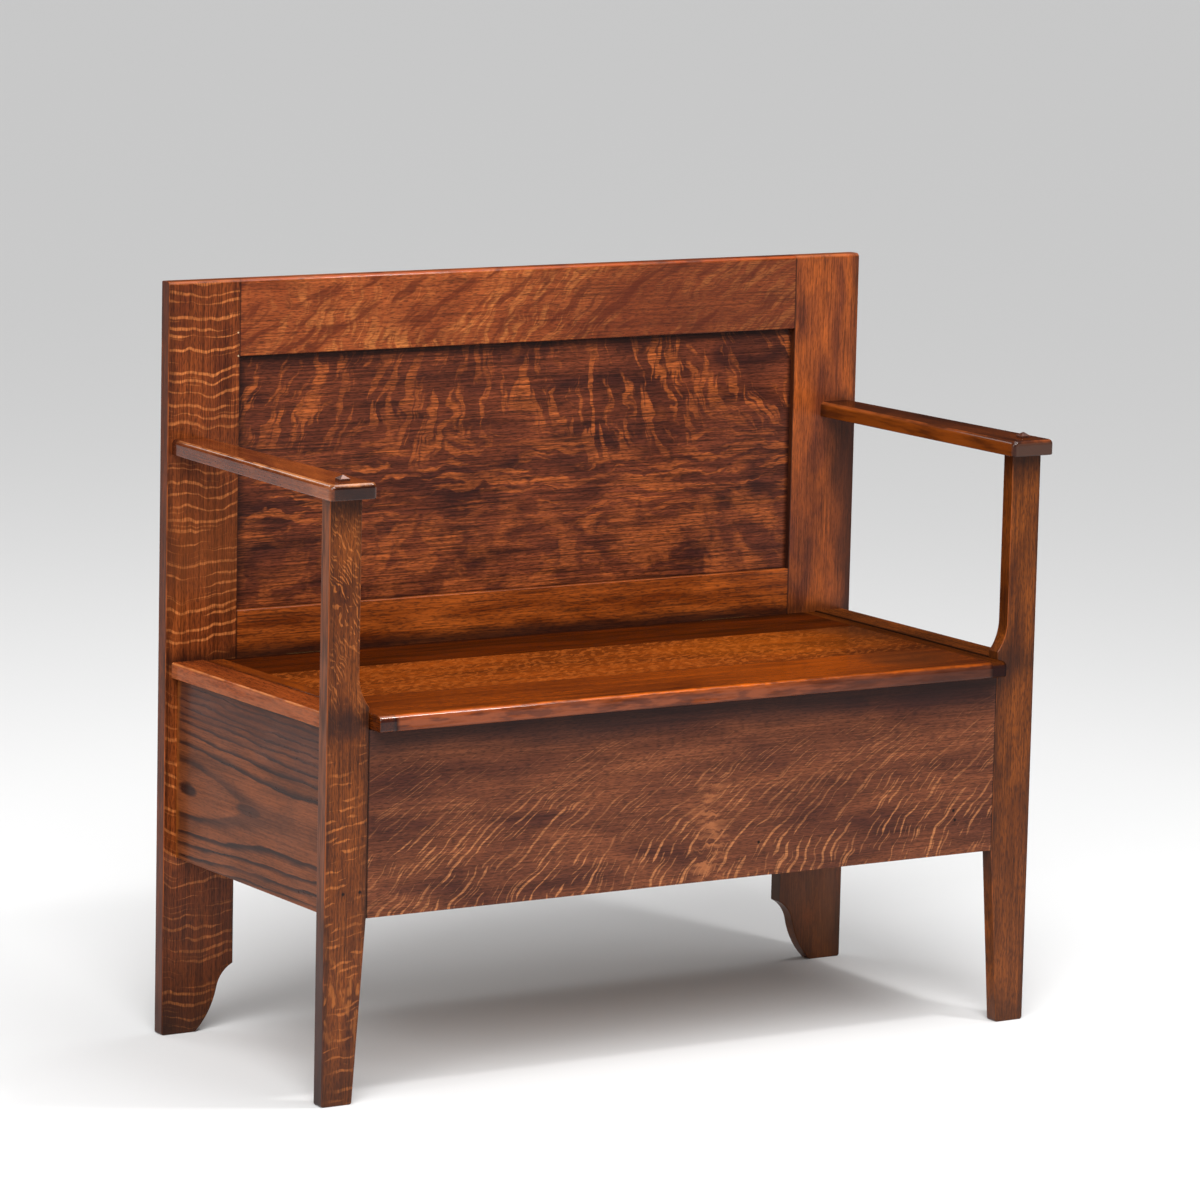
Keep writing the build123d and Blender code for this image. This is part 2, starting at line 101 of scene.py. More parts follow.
SEED_STEP = 7.31  # keeps the noises of one material apart


class Wood:
    """A wood being made up: its node tree, and places on it in millimetres. They are x, y, z,
    the side, which is the distance from the middle, and along, across and through the grain."""

    def __init__(self, name, axes, seed):
        self.material = bpy.data.materials.new(name)
        self.material.use_nodes = True
        self.tree = self.material.node_tree
        self.tree.nodes.clear()
        self.seed = seed
        place = add(self.tree, "TexCoord", output="Object")
        scaled = add(self.tree, "VectorMath", place, [1 / MM] * 3, **TIMES)
        apart = add(self.tree, "SeparateXYZ", scaled).node.outputs
        self.x, self.y, self.z = apart
        self.side = add(self.tree, "Math", self.x, **SIZE_OF)
        self.along, self.across, self.through = [apart[axis] for axis in axes]
        self.at = add(self.tree, "CombineXYZ", self.along, self.across, self.through)
        normal = add(self.tree, "TexCoord", output="Normal")
        slants = add(self.tree, "SeparateXYZ", normal).node.outputs
        self.facing = add(self.tree, "Math", slants[axes[2]], **SIZE_OF)
        self.lengthways = add(self.tree, "Math", slants[axes[0]], **SIZE_OF)

    def cloud(self, size, detail=2.0, at=None, twist=0.0):
        """Noise whose blotches have about this size in millimetres, new for each call."""
        self.seed += SEED_STEP
        spread = add(self.tree, "VectorMath", at or self.at, [1 / side for side in size],
                     [self.seed] * 3, **SCALED)
        return add(self.tree, "TexNoise", spread, output="Fac",
                   sockets={"Scale": 1.0, "Detail": detail, "Distortion": twist})

    def blotches(self, size, start, end, least=0.0, most=1.0, kind=SMOOTH, **noise):
        """A share that goes from least to most where its noise goes from start to end."""
        return add(self.tree, "MapRange", self.cloud(size, **noise), start, end, least, most, **kind)


# Parts of a pattern
def near(wood, value, place, width):
    """A share that is 1 at a place and fades to 0 over a width."""
    gap = add(wood.tree, "Math", add(wood.tree, "Math", value, place, **LESS), **SIZE_OF)
    return add(wood.tree, "MapRange", gap, 0.0, width, 1.0, 0.0, **SMOOTH)


def wobble(wood, value, size, reach):
    """A value moved to and fro by slow noise, by as much as a reach."""
    return add(wood.tree, "Math", value, wood.blotches(size, 0.25, 0.75, -reach, reach, EVEN))


def squares(wood, one, other):
    """The sum of two squares: how far a point lies from the middle of an oval, squared."""
    return add(wood.tree, "Math", add(wood.tree, "Math", one, one, **TIMES),
               add(wood.tree, "Math", other, other, **TIMES))


def flames(wood, level, other, size, start, end, detail=2.5):
    """Soft flakes, drawn out along the lines on which a level stays the same."""
    at = add(wood.tree, "CombineXYZ", level, other, 0.0)
    return wood.blotches((*size, 50.0), start, end, detail=detail, at=at)


def flecks(wood, level, along, spacing, thick, length, kept=0.5):
    """Thin spindles on lines of equal level, each row of them set and broken up on its own."""
    tree = wood.tree
    lowest, play = 0.28, 0.44  # where a line may lie in its row
    row_shift = 61.7  # gives each row its own breaks
    rows = add(tree, "Math", level, 1 / spacing, **TIMES)
    row = add(tree, "Math", rows, operation="FLOOR")
    chance = add(tree, "TexWhiteNoise", sockets={"W": row}, noise_dimensions="1D", output="Value")
    middle = add(tree, "Math", chance, play, lowest, **SCALED)
    off = add(tree, "Math", add(tree, "Math", rows, row, **LESS), middle, **LESS)
    at = add(tree, "CombineXYZ", along, add(tree, "Math", row, row_shift, **TIMES), 0.0)
    half = wood.blotches((length, 1.0, 50.0), kept, kept + 0.13, 0.0, thick / spacing / 2, EVEN,
                         detail=1.0, at=at)
    inside = add(tree, "Math", half, add(tree, "Math", off, **SIZE_OF), **LESS)
    return add(tree, "MapRange", inside, 0.0, 1 / spacing)


# Marks: each of these makes a function that gives the mark's share on a wood
def plane(axis, place, width):
    """What lies at one plane."""
    return lambda wood: near(wood, getattr(wood, axis), place, width)


def uneven(axis, place, width, size, reach):
    """What lies along a plane and wanders to and fro."""
    return lambda wood: near(wood, wobble(wood, getattr(wood, axis), size, reach), place, width)


def graded(axis, start, end, below=0.0, above=1.0, size=None, reach=0.0, kind=SMOOTH):
    """What changes from one share below a start to another above an end."""
    def mark(wood):
        value = getattr(wood, axis)
        if size:
            value = wobble(wood, value, size, reach)
        return add(wood.tree, "MapRange", value, start, end, below, above, **kind)
    return mark


def blotchy(size, start, end, least=0.0, most=1.0, kind=SMOOTH, detail=2.0):
    """What comes and goes in blotches."""
    return lambda wood: wood.blotches(size, start, end, least, most, kind, detail=detail)


def where_all(*marks):
    """What lies where all of these marks do."""
    def mark(wood):
        share = marks[0](wood)
        for other in marks[1:]:
            share = add(wood.tree, "Math", share, other(wood), **TIMES)
        return share
    return mark


def where_any(*marks):
    """What lies where any of these marks does."""
    def mark(wood):
        share = marks[0](wood)
        for other in marks[1:]:
            share = add(wood.tree, "Math", share, other(wood), **MOST)
        return share
    return mark


# Oak
def worn_edge(wood):
    """Where a board's edge is rounded, between its faces and its sides, and rubbed."""
    tree = wood.tree
    squared = add(tree, "Math", wood.facing, wood.facing, **TIMES)
    slant = add(tree, "Math", squared, add(tree, "Math", 1.0, squared, **LESS), **TIMES)
    corner = add(tree, "MapRange", slant, 0.03, 0.16, **SMOOTH)
    return add(tree, "Math", corner, wood.blotches((40, 30, 30), 0.36, 0.58, detail=4), **TIMES)


def oak(name, axes, seed, ground, glow, dark="2a130d", pale="a8602f", figure=None, flake=0.8,
        marks=(), mottle=(120, 38, 38), speckle=0.55, hairline=0.25, edge="9c4f22", rub=0.6,
        rubbed=None, end="24130e", matt=0.34, gloss=0.2, coat=0.06, wax=0.16):
    """Oak with its mottled ground, flakes, pores, hairlines, grime and rubbed edges under a finish.

    The axes run along, across and through its grain. Ground and glow are the browns of its
    mottle, pale is for flakes, dark for pores, edge for rubbed edges and end for end grain.
    Each mark has a shade, a strength and the function that draws it. In real oak the pores
    are 0.3 mm wide and the hairlines 0.2 mm. They are drawn 1.3 mm and 1.9 mm wide, so that
    they show."""
    wood = Wood(name, axes, seed)
    tree = wood.tree
    share = wood.blotches(mottle, 0.34, 0.66, kind=EVEN, detail=5, twist=0.6)
    colour = add(tree, "Mix", share, sockets={UNDER: tone(ground), OVER: tone(glow)}, **COLOURS)
    flat_on = add(tree, "MapRange", wood.facing, 0.6, 0.9)
    lacquer = wood.blotches((60, 25, 25), 0.3, 0.7, matt - 0.06, matt + 0.08, EVEN, detail=3)
    if figure:
        drawn = add(tree, "Math", figure(wood), flat_on, **TIMES)
        flakes = add(tree, "Math", drawn, flake, **TIMES)
        colour = add(tree, "Mix", flakes, sockets={UNDER: colour, OVER: tone(pale)}, **COLOURS)
        lacquer = add(tree, "Math", flakes, -0.05, lacquer, **SCALED)
    pores = wood.cloud((9, 1.3, 1.3), detail=1.5)
    dashes = add(tree, "MapRange", pores, 0.36, 0.53, speckle, 0.0, **SMOOTH)
    colour = add(tree, "Mix", dashes, sockets={UNDER: colour, OVER: tone(dark)}, **COLOURS)
    hairs = wood.cloud((90, 1.9, 1.9), detail=1)
    lines = add(tree, "MapRange", hairs, 0.34, 0.66, 1 - hairline, 1 + 0.6 * hairline)
    colour = add(tree, "VectorMath", colour, sockets={"Scale": lines}, operation="SCALE")
    for shade, strength, mark in marks:
        grime = add(tree, "Math", mark(wood), strength, **TIMES)
        colour = add(tree, "Mix", grime, sockets={UNDER: colour, OVER: tone(shade)}, **COLOURS)
    ends = add(tree, "MapRange", wood.lengthways, 0.8, 0.97, 0.0, 0.75, **SMOOTH)
    colour = add(tree, "Mix", ends, sockets={UNDER: colour, OVER: tone(end)}, **COLOURS)
    worn = add(tree, "Math", worn_edge(wood), rub, **TIMES)
    if rubbed:
        worn = add(tree, "Math", worn, rubbed(wood), **TIMES)
    colour = add(tree, "Mix", worn, sockets={UNDER: colour, OVER: tone(edge)}, **COLOURS)
    relief = add(tree, "Bump", output="Normal", sockets={
        "Strength": 0.5, "Distance": 0.15 * MM, "Height": add(tree, "Math", pores, hairs)})
    surface = add(tree, "BsdfPrincipled", sockets={
        "Base Color": colour, "Roughness": lacquer, "Normal": relief, "IOR": 1.5,
        "Specular IOR Level": gloss, "Coat Weight": coat, "Coat Roughness": wax, "Coat IOR": 1.5})
    add(tree, "OutputMaterial", surface)
    return wood.material


# Figure of the quarter-sawn boards
def sagging_rays(wood):
    """Left stile: thin rays that cross the board and sag in its middle."""
    tree = wood.tree
    sag = 6.0
    across = add(tree, "Math", wood.x, 1 / stile_half, stile_middle / stile_half, **SCALED)
    bow = add(tree, "Math", across, across, **TIMES)
    level = add(tree, "Math", bow, -sag, wood.z, **SCALED)
    level = wobble(wood, wobble(wood, level, (110, 45, 40), 7.0), (26, 20, 20), 1.0)
    bold = flecks(wood, level, wood.x, spacing=13.5, thick=4.4, length=110, kept=0.38)
    fine = flecks(wood, level, wood.x, spacing=7.0, thick=2.4, length=60)
    patches = wood.blotches((130, 60, 80), 0.36, 0.6, least=0.5)
    lines = add(tree, "Math", bold, add(tree, "Math", fine, 0.55, **TIMES), **MOST)
    return add(tree, "Math", lines, patches, **TIMES)


def swept_rays(wood):
    """Top rail: soft flakes, steep at the left and swept to the right further on."""
    tree = wood.tree
    usual_lean, change = 0.75, 0.6
    lean = add(tree, "Math", wood.x, change / stile_inner, usual_lean, **SCALED)
    drop = add(tree, "Math", wood.z, top, **LESS)
    level = add(tree, "Math", wood.x, add(tree, "Math", lean, drop, **TIMES), **LESS)
    level = wobble(wood, wobble(wood, level, (110, 45, 40), 14.0), (26, 16, 20), 3.0)
    broad = flames(wood, level, wood.z, (9.0, 38.0), 0.45, 0.64, detail=3.0)
    fine = flecks(wood, level, wood.z, spacing=9.0, thick=2.8, length=26)
    lines = add(tree, "Math", broad, add(tree, "Math", fine, 0.8, **TIMES), **MOST)
    patches = wood.blotches((150, 50, 80), 0.36, 0.62, least=0.15)
    return add(tree, "Math", lines, patches, **TIMES)


def swept_shadows(wood):
    """Redder streaks between the rail's flakes, swept with them."""
    lean = 1.3
    drop = add(wood.tree, "Math", wood.z, top, **LESS)
    level = add(wood.tree, "Math", drop, -lean, wood.x, **SCALED)
    level = wobble(wood, level, (100, 45, 40), 16.0)
    return flames(wood, level, wood.z, (17.0, 40.0), 0.48, 0.66, detail=3.0)


def tiger_flakes(wood):
    """Back panel: upright flames above, long waves in the middle and faint patches below."""
    tree = wood.tree
    change = 0.5
    lean = add(tree, "Math", wood.x, change / stile_inner, **TIMES)
    drop = add(tree, "Math", wood.z, panel_high, **LESS)
    level = add(tree, "Math", lean, drop, wood.x, **SCALED)
    level = wobble(wood, wobble(wood, level, (50, 60, 40), 12.0), (18, 14, 20), 3.0)
    upright = flames(wood, level, wood.z, (10.0, 55.0), 0.5, 0.6)
    height = wobble(wood, wobble(wood, wood.z, (100, 60, 40), 13.0), (22, 14, 40), 3.5)
    waves = flames(wood, height, wood.x, (8.0, 75.0), 0.48, 0.58)
    patches = flames(wood, level, wood.z, (24.0, 38.0), 0.42, 0.6, detail=4.0)
    border = wobble(wood, wood.z, (100, 90, 40), 60.0)
    above = add(tree, "MapRange", border, panel_high - 150, panel_high - 100, **SMOOTH)
    below = add(tree, "MapRange", border, panel_low + 60, panel_low + 120, 0.75, 0.0, **SMOOTH)
    figure = add(tree, "Mix", above, sockets={FIRST: waves, SECOND: upright})
    figure = add(tree, "Mix", below, sockets={FIRST: figure, SECOND: patches})
    streaks = wood.blotches((38, 2.4, 40), 0.36, 0.56, least=0.5, detail=1.5)
    patchy = wood.blotches((90, 60, 80), 0.3, 0.6, least=0.4)
    return add(tree, "Math", add(tree, "Math", figure, streaks, **TIMES), patchy, **TIMES)


def arched_rays(wood):
    """Front panel: thin flecks that rise steeply from the lower edge and bend over to the right."""
    tree = wood.tree
    usual_lean, change, bend_in_a_mm = 0.48, -0.15, 0.0042
    height = add(tree, "Math", wood.z, box_floor, **LESS)
    lean = add(tree, "Math", wood.x, change / box_half, usual_lean, **SCALED)
    bend = add(tree, "Math", height, bend_in_a_mm, lean, **SCALED)
    level = add(tree, "Math", wood.x, add(tree, "Math", bend, height, **TIMES), **LESS)
    level = wobble(wood, wobble(wood, level, (110, 60, 40), 12.0), (18, 16, 20), 1.2)
    bold = flecks(wood, level, wood.z, spacing=16.0, thick=4.8, length=36, kept=0.43)
    fine = flecks(wood, level, wood.z, spacing=9.5, thick=3.0, length=20, kept=0.47)
    reach = wobble(wood, height, (150, 60, 40), 30.0)
    low_down = add(tree, "MapRange", reach, 70, 165, 1.0, 0.0, **SMOOTH)
    higher = add(tree, "MapRange", reach, 120, 210, 0.6, 0.0, **SMOOTH)
    bold = add(tree, "Math", bold, low_down, **TIMES)
    fine = add(tree, "Math", fine, higher, **TIMES)
    patches = wood.blotches((110, 60, 80), 0.34, 0.56, least=0.35)
    return add(tree, "Math", add(tree, "Math", bold, fine, **MOST), patches, **TIMES)


def wavy_flame(wood):
    """A light upright flame in the front panel, near its middle, crossed by fine zigzags."""
    middle = wobble(wood, wobble(wood, wood.x, (60, 50, 40), 9.0), (16, 9, 20), 9.0)
    column = near(wood, middle, place=28.0, width=32.0)
    zigzag = flames(wood, wobble(wood, wood.z, (9, 30, 20), 4.0), wood.x, (5.0, 30.0), 0.42, 0.6)
    fading = graded("z", box_floor + 92, box_floor + 152, 1.0, 0.0)(wood)
    return add(wood.tree, "Math", add(wood.tree, "Math", column, zigzag, **TIMES), fading, **TIMES)


def crossed_leg_rays(wood):
    """Left leg: flat rays beside the box, slanting squiggles above the seat."""
    tree = wood.tree
    rise, steep_rise = -0.14, 1.3
    flat = wobble(wood, add(tree, "Math", wood.x, rise, wood.z, **SCALED), (30, 26, 26), 4.0)
    lines = flecks(wood, flat, wood.x, spacing=10.0, thick=4.0, length=30, kept=0.46)
    slant = wobble(wood, add(tree, "Math", wood.x, steep_rise, wood.z, **SCALED), (34, 18, 20), 12.0)
    squiggles = flecks(wood, slant, wood.x, spacing=8.0, thick=4.2, length=9, kept=0.42)
    above = graded("z", seat - 60, seat + 10, size=(60, 60, 60), reach=25.0, kind=EVEN)(wood)
    patches = wood.blotches((80, 40, 80), 0.4, 0.58, least=0.12)
    figure = add(tree, "Mix", above, sockets={FIRST: lines, SECOND: squiggles})
    return add(tree, "Math", figure, patches, **TIMES)


def foot_flames(wood):
    """Left leg, low down: large soft flakes."""
    return flames(wood, wobble(wood, wood.x, (60, 20, 20), 6.0), wood.z, (8.0, 26.0), 0.5, 0.62)


def lid_flakes(wood):
    """Middle lid board: short slanting flecks close together."""
    rise = -0.6
    slant = add(wood.tree, "Math", wood.x, rise, wood.y, **SCALED)
    slant = wobble(wood, slant, (60, 40, 40), 10.0)
    return flames(wood, slant, wood.x, (7.0, 12.0), 0.46, 0.62, detail=3)


# Figure of the flat-sawn boards: arches lie where a height squared is a whole number of rings
RING = 42.0 ** 2
OPEN_BEHIND, CLOSED_IN_FRONT = 759.0, 2239.0  # how far the arches close, on the same scale
EYE_HEIGHT, EYE_GAP = 9.0, 152


def cathedral(middle, eye):
    """Makes an end panel's arches of dark late wood, nested about a middle height and closed
    towards the front, with an eye on that line at one depth and a second in front of it."""
    def figure(wood):
        tree = wood.tree
        rise = wobble(wood, add(tree, "Math", wood.z, middle, **LESS), (130, 26, 30), 4.0)
        rise = wobble(wood, rise, (22, 9, 30), 0.8)
        closing = graded("y", back_face, back_face - 280, OPEN_BEHIND, CLOSED_IN_FRONT)(wood)
        phase = add(tree, "Math", rise, rise, closing, **SCALED)
        phase = add(tree, "Math", phase, 1 / RING, **TIMES)
        turn = add(tree, "Math", phase, operation="FRACT")
        fading = add(tree, "MapRange", turn, 0.06, 0.46, 1.0, 0.0, **SMOOTH)
        start = add(tree, "MapRange", turn, 0.92, 1.0, **SMOOTH)
        ring = add(tree, "Math", phase, operation="ROUND")
        at = add(tree, "CombineXYZ", wood.y, ring, 0.0)
        bold = wood.blotches((160, 0.4, 50), 0.38, 0.56, least=0.6, at=at)
        lines = add(tree, "Math", add(tree, "Math", fading, start, **MOST), bold, **TIMES)
        over = add(tree, "Math", rise, 1 / EYE_HEIGHT, **TIMES)
        for place, half, strength in ((eye, 24, 1.0), (eye - EYE_GAP, 36, 0.85)):
            beside = add(tree, "Math", wood.y, 1 / half, -place / half, **SCALED)
            far = squares(wood, over, beside)
            spot = add(tree, "MapRange", far, 0.4, 1.2, strength, 0.0, **SMOOTH)
            lines = add(tree, "Math", lines, spot, **MOST)
        return lines
    return figure


# Open grain in dark hairlines, 0.2 mm wide in the real wood and drawn 2.4 mm, so that they show
open_grain = where_all(blotchy((70, 2.4, 40), 0.35, 0.5, 1.0, 0.0),
                       blotchy((120, 40, 60), 0.34, 0.6, least=0.35, kind=EVEN))


def side_face(place):
    """A board's side, which faces left or right."""
    return plane("x", place, 2.5)


def worn_side(place):
    """A side whose polish is worn thin in streaks along the grain."""
    return where_all(blotchy((60, 6, 6), 0.32, 0.6, least=0.3, detail=3), side_face(place))


def side_grain(place):
    """Dark strokes of grain on a side."""
    return where_all(blotchy((46, 3.4, 3.4), 0.4, 0.56, 1.0, 0.0, detail=3), side_face(place))


def on_the_front(mark):
    """The part of a mark that lies on the back's front face, and not behind it."""
    return where_all(mark, graded("y", back_face + 3, back_face + 8, 1.0, 0.0, kind=EVEN))


def small_spots(places, size):
    """Small spots on a front, such as filled nail holes, each at its x and z."""
    core, rim = 0.3 * size, 0.7 * size

    def mark(wood):
        here = add(wood.tree, "CombineXYZ", wood.x, 0.0, wood.z)
        spots = 0.0
        for x, z in places:
            far = add(wood.tree, "VectorMath", here, (x, 0.0, z), operation="DISTANCE", output="Value")
            spot = add(wood.tree, "MapRange", far, core, rim, 1.0, 0.0)
            spots = add(wood.tree, "Math", spot, spots, **MOST)
        return spots
    return on_the_front(mark)


def soft_oval(x, y, long, wide):
    """A soft oval patch on the lid, about its middle at x and y."""
    def mark(wood):
        offsets = []
        for value, middle, half in ((wood.x, x, long), (wood.y, y, wide)):
            value = wobble(wood, value, (60, 40, 40), 0.2 * half)
            offsets.append(add(wood.tree, "Math", value, 1 / half, -middle / half, **SCALED))
        return add(wood.tree, "MapRange", squares(wood, *offsets), 0.0, 2.2, 1.0, 0.0, **SMOOTH)
    return mark


# Feet: grime from mops and shoes, and edges that are dark instead of rubbed bright
towards_the_foot = graded("z", 0.0, box_floor + 42, 1.0, 0.0, size=(60, 40, 40), reach=30.0, kind=EVEN)
at_the_foot = graded("z", 8.0, 62.0, 1.0, 0.0, size=(40, 24, 24), reach=14.0)
above_the_foot = graded("z", 60.0, 200.0, 0.1, 1.0, size=(40, 24, 24), reach=20.0)

# Back: old wax in its joints, dark polish along its outer edges, which get knocked at the corners,
# and dust and painted shade in the panel's corners and just above the seat
stile_seam = plane("side", stile_inner, 2.0)
stile_edge = uneven("side", stile_outer, 16.0, size=(60, 10, 10), reach=4.0)
outer_corners = where_any(plane("z", top, 9.0),
                          where_all(plane("side", stile_outer, 4.0), above_the_foot))
dust_and_shade_in_corners = where_any(plane("x", -stile_inner, 17.0), plane("x", stile_inner, 8.0),
                          plane("z", panel_high, 18.0), plane("z", panel_low, 4.0))
# Grime and painted contact shade just above the seat, on the stiles and low on the bottom rail
grime_and_shade_above_seat = on_the_front(uneven("z", seat, 20.0, size=(40, 30, 30), reach=7.0))
grime_and_shade_low_on_rail = on_the_front(graded("z", seat + 3, seat + 20, 1.0, 0.0, size=(90, 60, 40), reach=4.0))
far_on_the_rail = graded("x", -100.0, 250.0, size=(120, 60, 40), reach=90.0, kind=EVEN)
warm_band = on_the_front(uneven("z", seat + 133, 130.0, size=(90, 60, 40), reach=30.0))
stile_pins = small_spots([(-401.5, 850), (-401, 822)], size=2.0)  # pale, beside the rail's joint


def grime_and_arm_shadow(wood):
    """The right stile's outer half, dark from the arm down, along a slightly slanting border: grime and
    a painted shadow of the arm.
    """
    slant, start, end = 0.12, 518.0, 556.0
    border = wobble(wood, wood.x, (70, 30, 30), 9.0)
    border = add(wood.tree, "Math", wood.z, slant, border, **SCALED)
    outer = add(wood.tree, "MapRange", border, start, end, **SMOOTH)
    below = graded("z", arm_under + 7.5, arm_under + 37.5, 1.0, 0.0, size=(30, 20, 20), reach=10.0)
    return add(wood.tree, "Math", outer, below(wood), **TIMES)


# Box and legs: dust and a painted shadow under the lid, black wax in the joints, unpolished inner faces
dust_and_lid_shadow = graded("z", lid_bottom - 48, lid_bottom - 10, size=(120, 60, 40), reach=8.0)
lower_edge = plane("z", box_floor, 5.0)
leg_seam = where_all(plane("side", box_half, 2.6),
                     graded("z", lid_bottom, lid_bottom + 6, 1.0, 0.0, kind=EVEN))
leg_top = graded("z", arm_under - 47.5, arm_under - 7.5, size=(30, 12, 12), reach=14.0)
at_the_seat = uneven("z", seat - 8, 34.0, size=(25, 20, 20), reach=8.0)
side_above = where_all(worn_side(-leg_outer), graded("z", box_floor - 48, box_floor + 42, kind=EVEN))
side_below = where_all(graded("z", box_floor - 48, box_floor + 32, 1.0, 0.0,
                              size=(50, 20, 20), reach=20.0, kind=EVEN),
                       side_face(-leg_outer))
soft_patches = where_all(foot_flames, blotchy((30, 2.4, 20), 0.4, 0.52, least=0.25),
                         uneven("z", 125.0, 95.0, size=(60, 60, 60), reach=15.0),
                         graded("facing", 0.8, 0.95, kind=EVEN))
leg_nails = small_spots([(-473, 249), (-451, 249.5)], size=3.8)
panel_nails = small_spots([(98, 259), (383, 273), (385.5, 261)], size=3.8)
# A purplish painted sheen on the upper part of the left end
painted_sheen_on_end = graded("z", lid_bottom - 88, lid_bottom - 28, size=(110, 40, 40), reach=18.0)
beside_the_stile = uneven("y", back_face, 10.0, size=(20, 20, 20), reach=3.0)
inside_of_the_end = plane("side", low("end_panel_right").x, 2.0)
inside_of_the_front = plane("y", high("front_panel").y, 2.0)


def leg_edges(wood):
    """Darker along both edges of a leg's front: old polish, and painted shade."""
    place = wobble(wood, wood.side, (50, 10, 10), 5.0)
    inner = near(wood, place, box_half, width=9.0)
    outer = near(wood, place, leg_outer, width=8.0)
    return add(wood.tree, "Math", inner, outer, **MOST)


# Lid: polish rubbed through along the front edge in a thin uneven line, streaks and patches
# on its front face, painted shade on its right end, wax in its joints, and painted shade in the gaps
# around it
lid_front_edge = where_all(uneven("y", lid_front + 3, 5.0, size=(24, 12, 12), reach=2.0),
                           graded("z", seat - 3.5, seat - 1.5, size=(14, 9, 9), reach=1.2),
                           blotchy((26, 14, 14), 0.36, 0.54, least=0.2, detail=4),
                           graded("x", 40.0, 240.0, 1.0, 0.35))
nose = plane("y", lid_front, 2.5)
nose_streaks = where_all(blotchy((60, 8, 7), 0.36, 0.56, least=0.25, detail=3), nose)
nose_patches = where_all(blotchy((38, 12, 7), 0.48, 0.64, detail=4), nose)
nose_right = where_all(graded("x", 40.0, 260.0, size=(60, 12, 9), reach=70.0), nose)
nose_joint = where_all(plane("side", cleat_seam, 6.0), plane("y", lid_front, 9.0))
painted_shade_on_lid_right = graded("x", 230.0, 360.0, size=(90, 60, 40), reach=60.0)
front_seam = plane("y", high("lid_board_front").y, 1.8)
back_seam = plane("y", high("lid_board_middle").y, 1.8)
shade_in_gap_behind_lid = uneven("y", high("lid_board_back").y, 16.0, size=(60, 20, 20), reach=3.0)
shade_in_gap_beside_cap = plane("side", lid_end, 5.0)
shade_in_gap_beside_lid = plane("side", low("cap_strip_right").x, 6.0)
cap_outer_edge = plane("side", high("cap_strip_right").x, 8.0)

# Arms: grime and painted contact shade where they meet the back, rubbed upper edges, front ends dark
# from hands
grime_and_shade_at_back = uneven("y", back_face, 22.0, size=(20, 20, 20), reach=4.0)
upper_arm_edges = uneven("z", high("arm_left").z, 5.0, size=(30, 12, 12), reach=1.5)
arm_front = uneven("y", low("arm_left").y, 14.0, size=(20, 20, 20), reach=4.0)

# Colours that several boards share, as sRGB hex values
# Old wax darkens the joints; the same colour also paints contact shade where the seat and the arms meet
# the back
OLD_WAX_AND_SHADE = "1c0d0a"
BLACK_WAX = "100908"
# Painted shade in the gaps around the lid
PAINTED_GAP_SHADE = "150906"
DARK_GRAIN = "1e0e08"
SIDE_STROKES = "34180a"
FOOT_GRIME = "180d09"
# Darker polish along the legs' edges, partly painted shade
LEG_POLISH_AND_SHADE = "24120c"
NAIL_HOLE = "0c0605"
PLANED_OAK = "856048"
# Painted shade on the lid's right end
PAINTED_LID_SHADE = "361402"

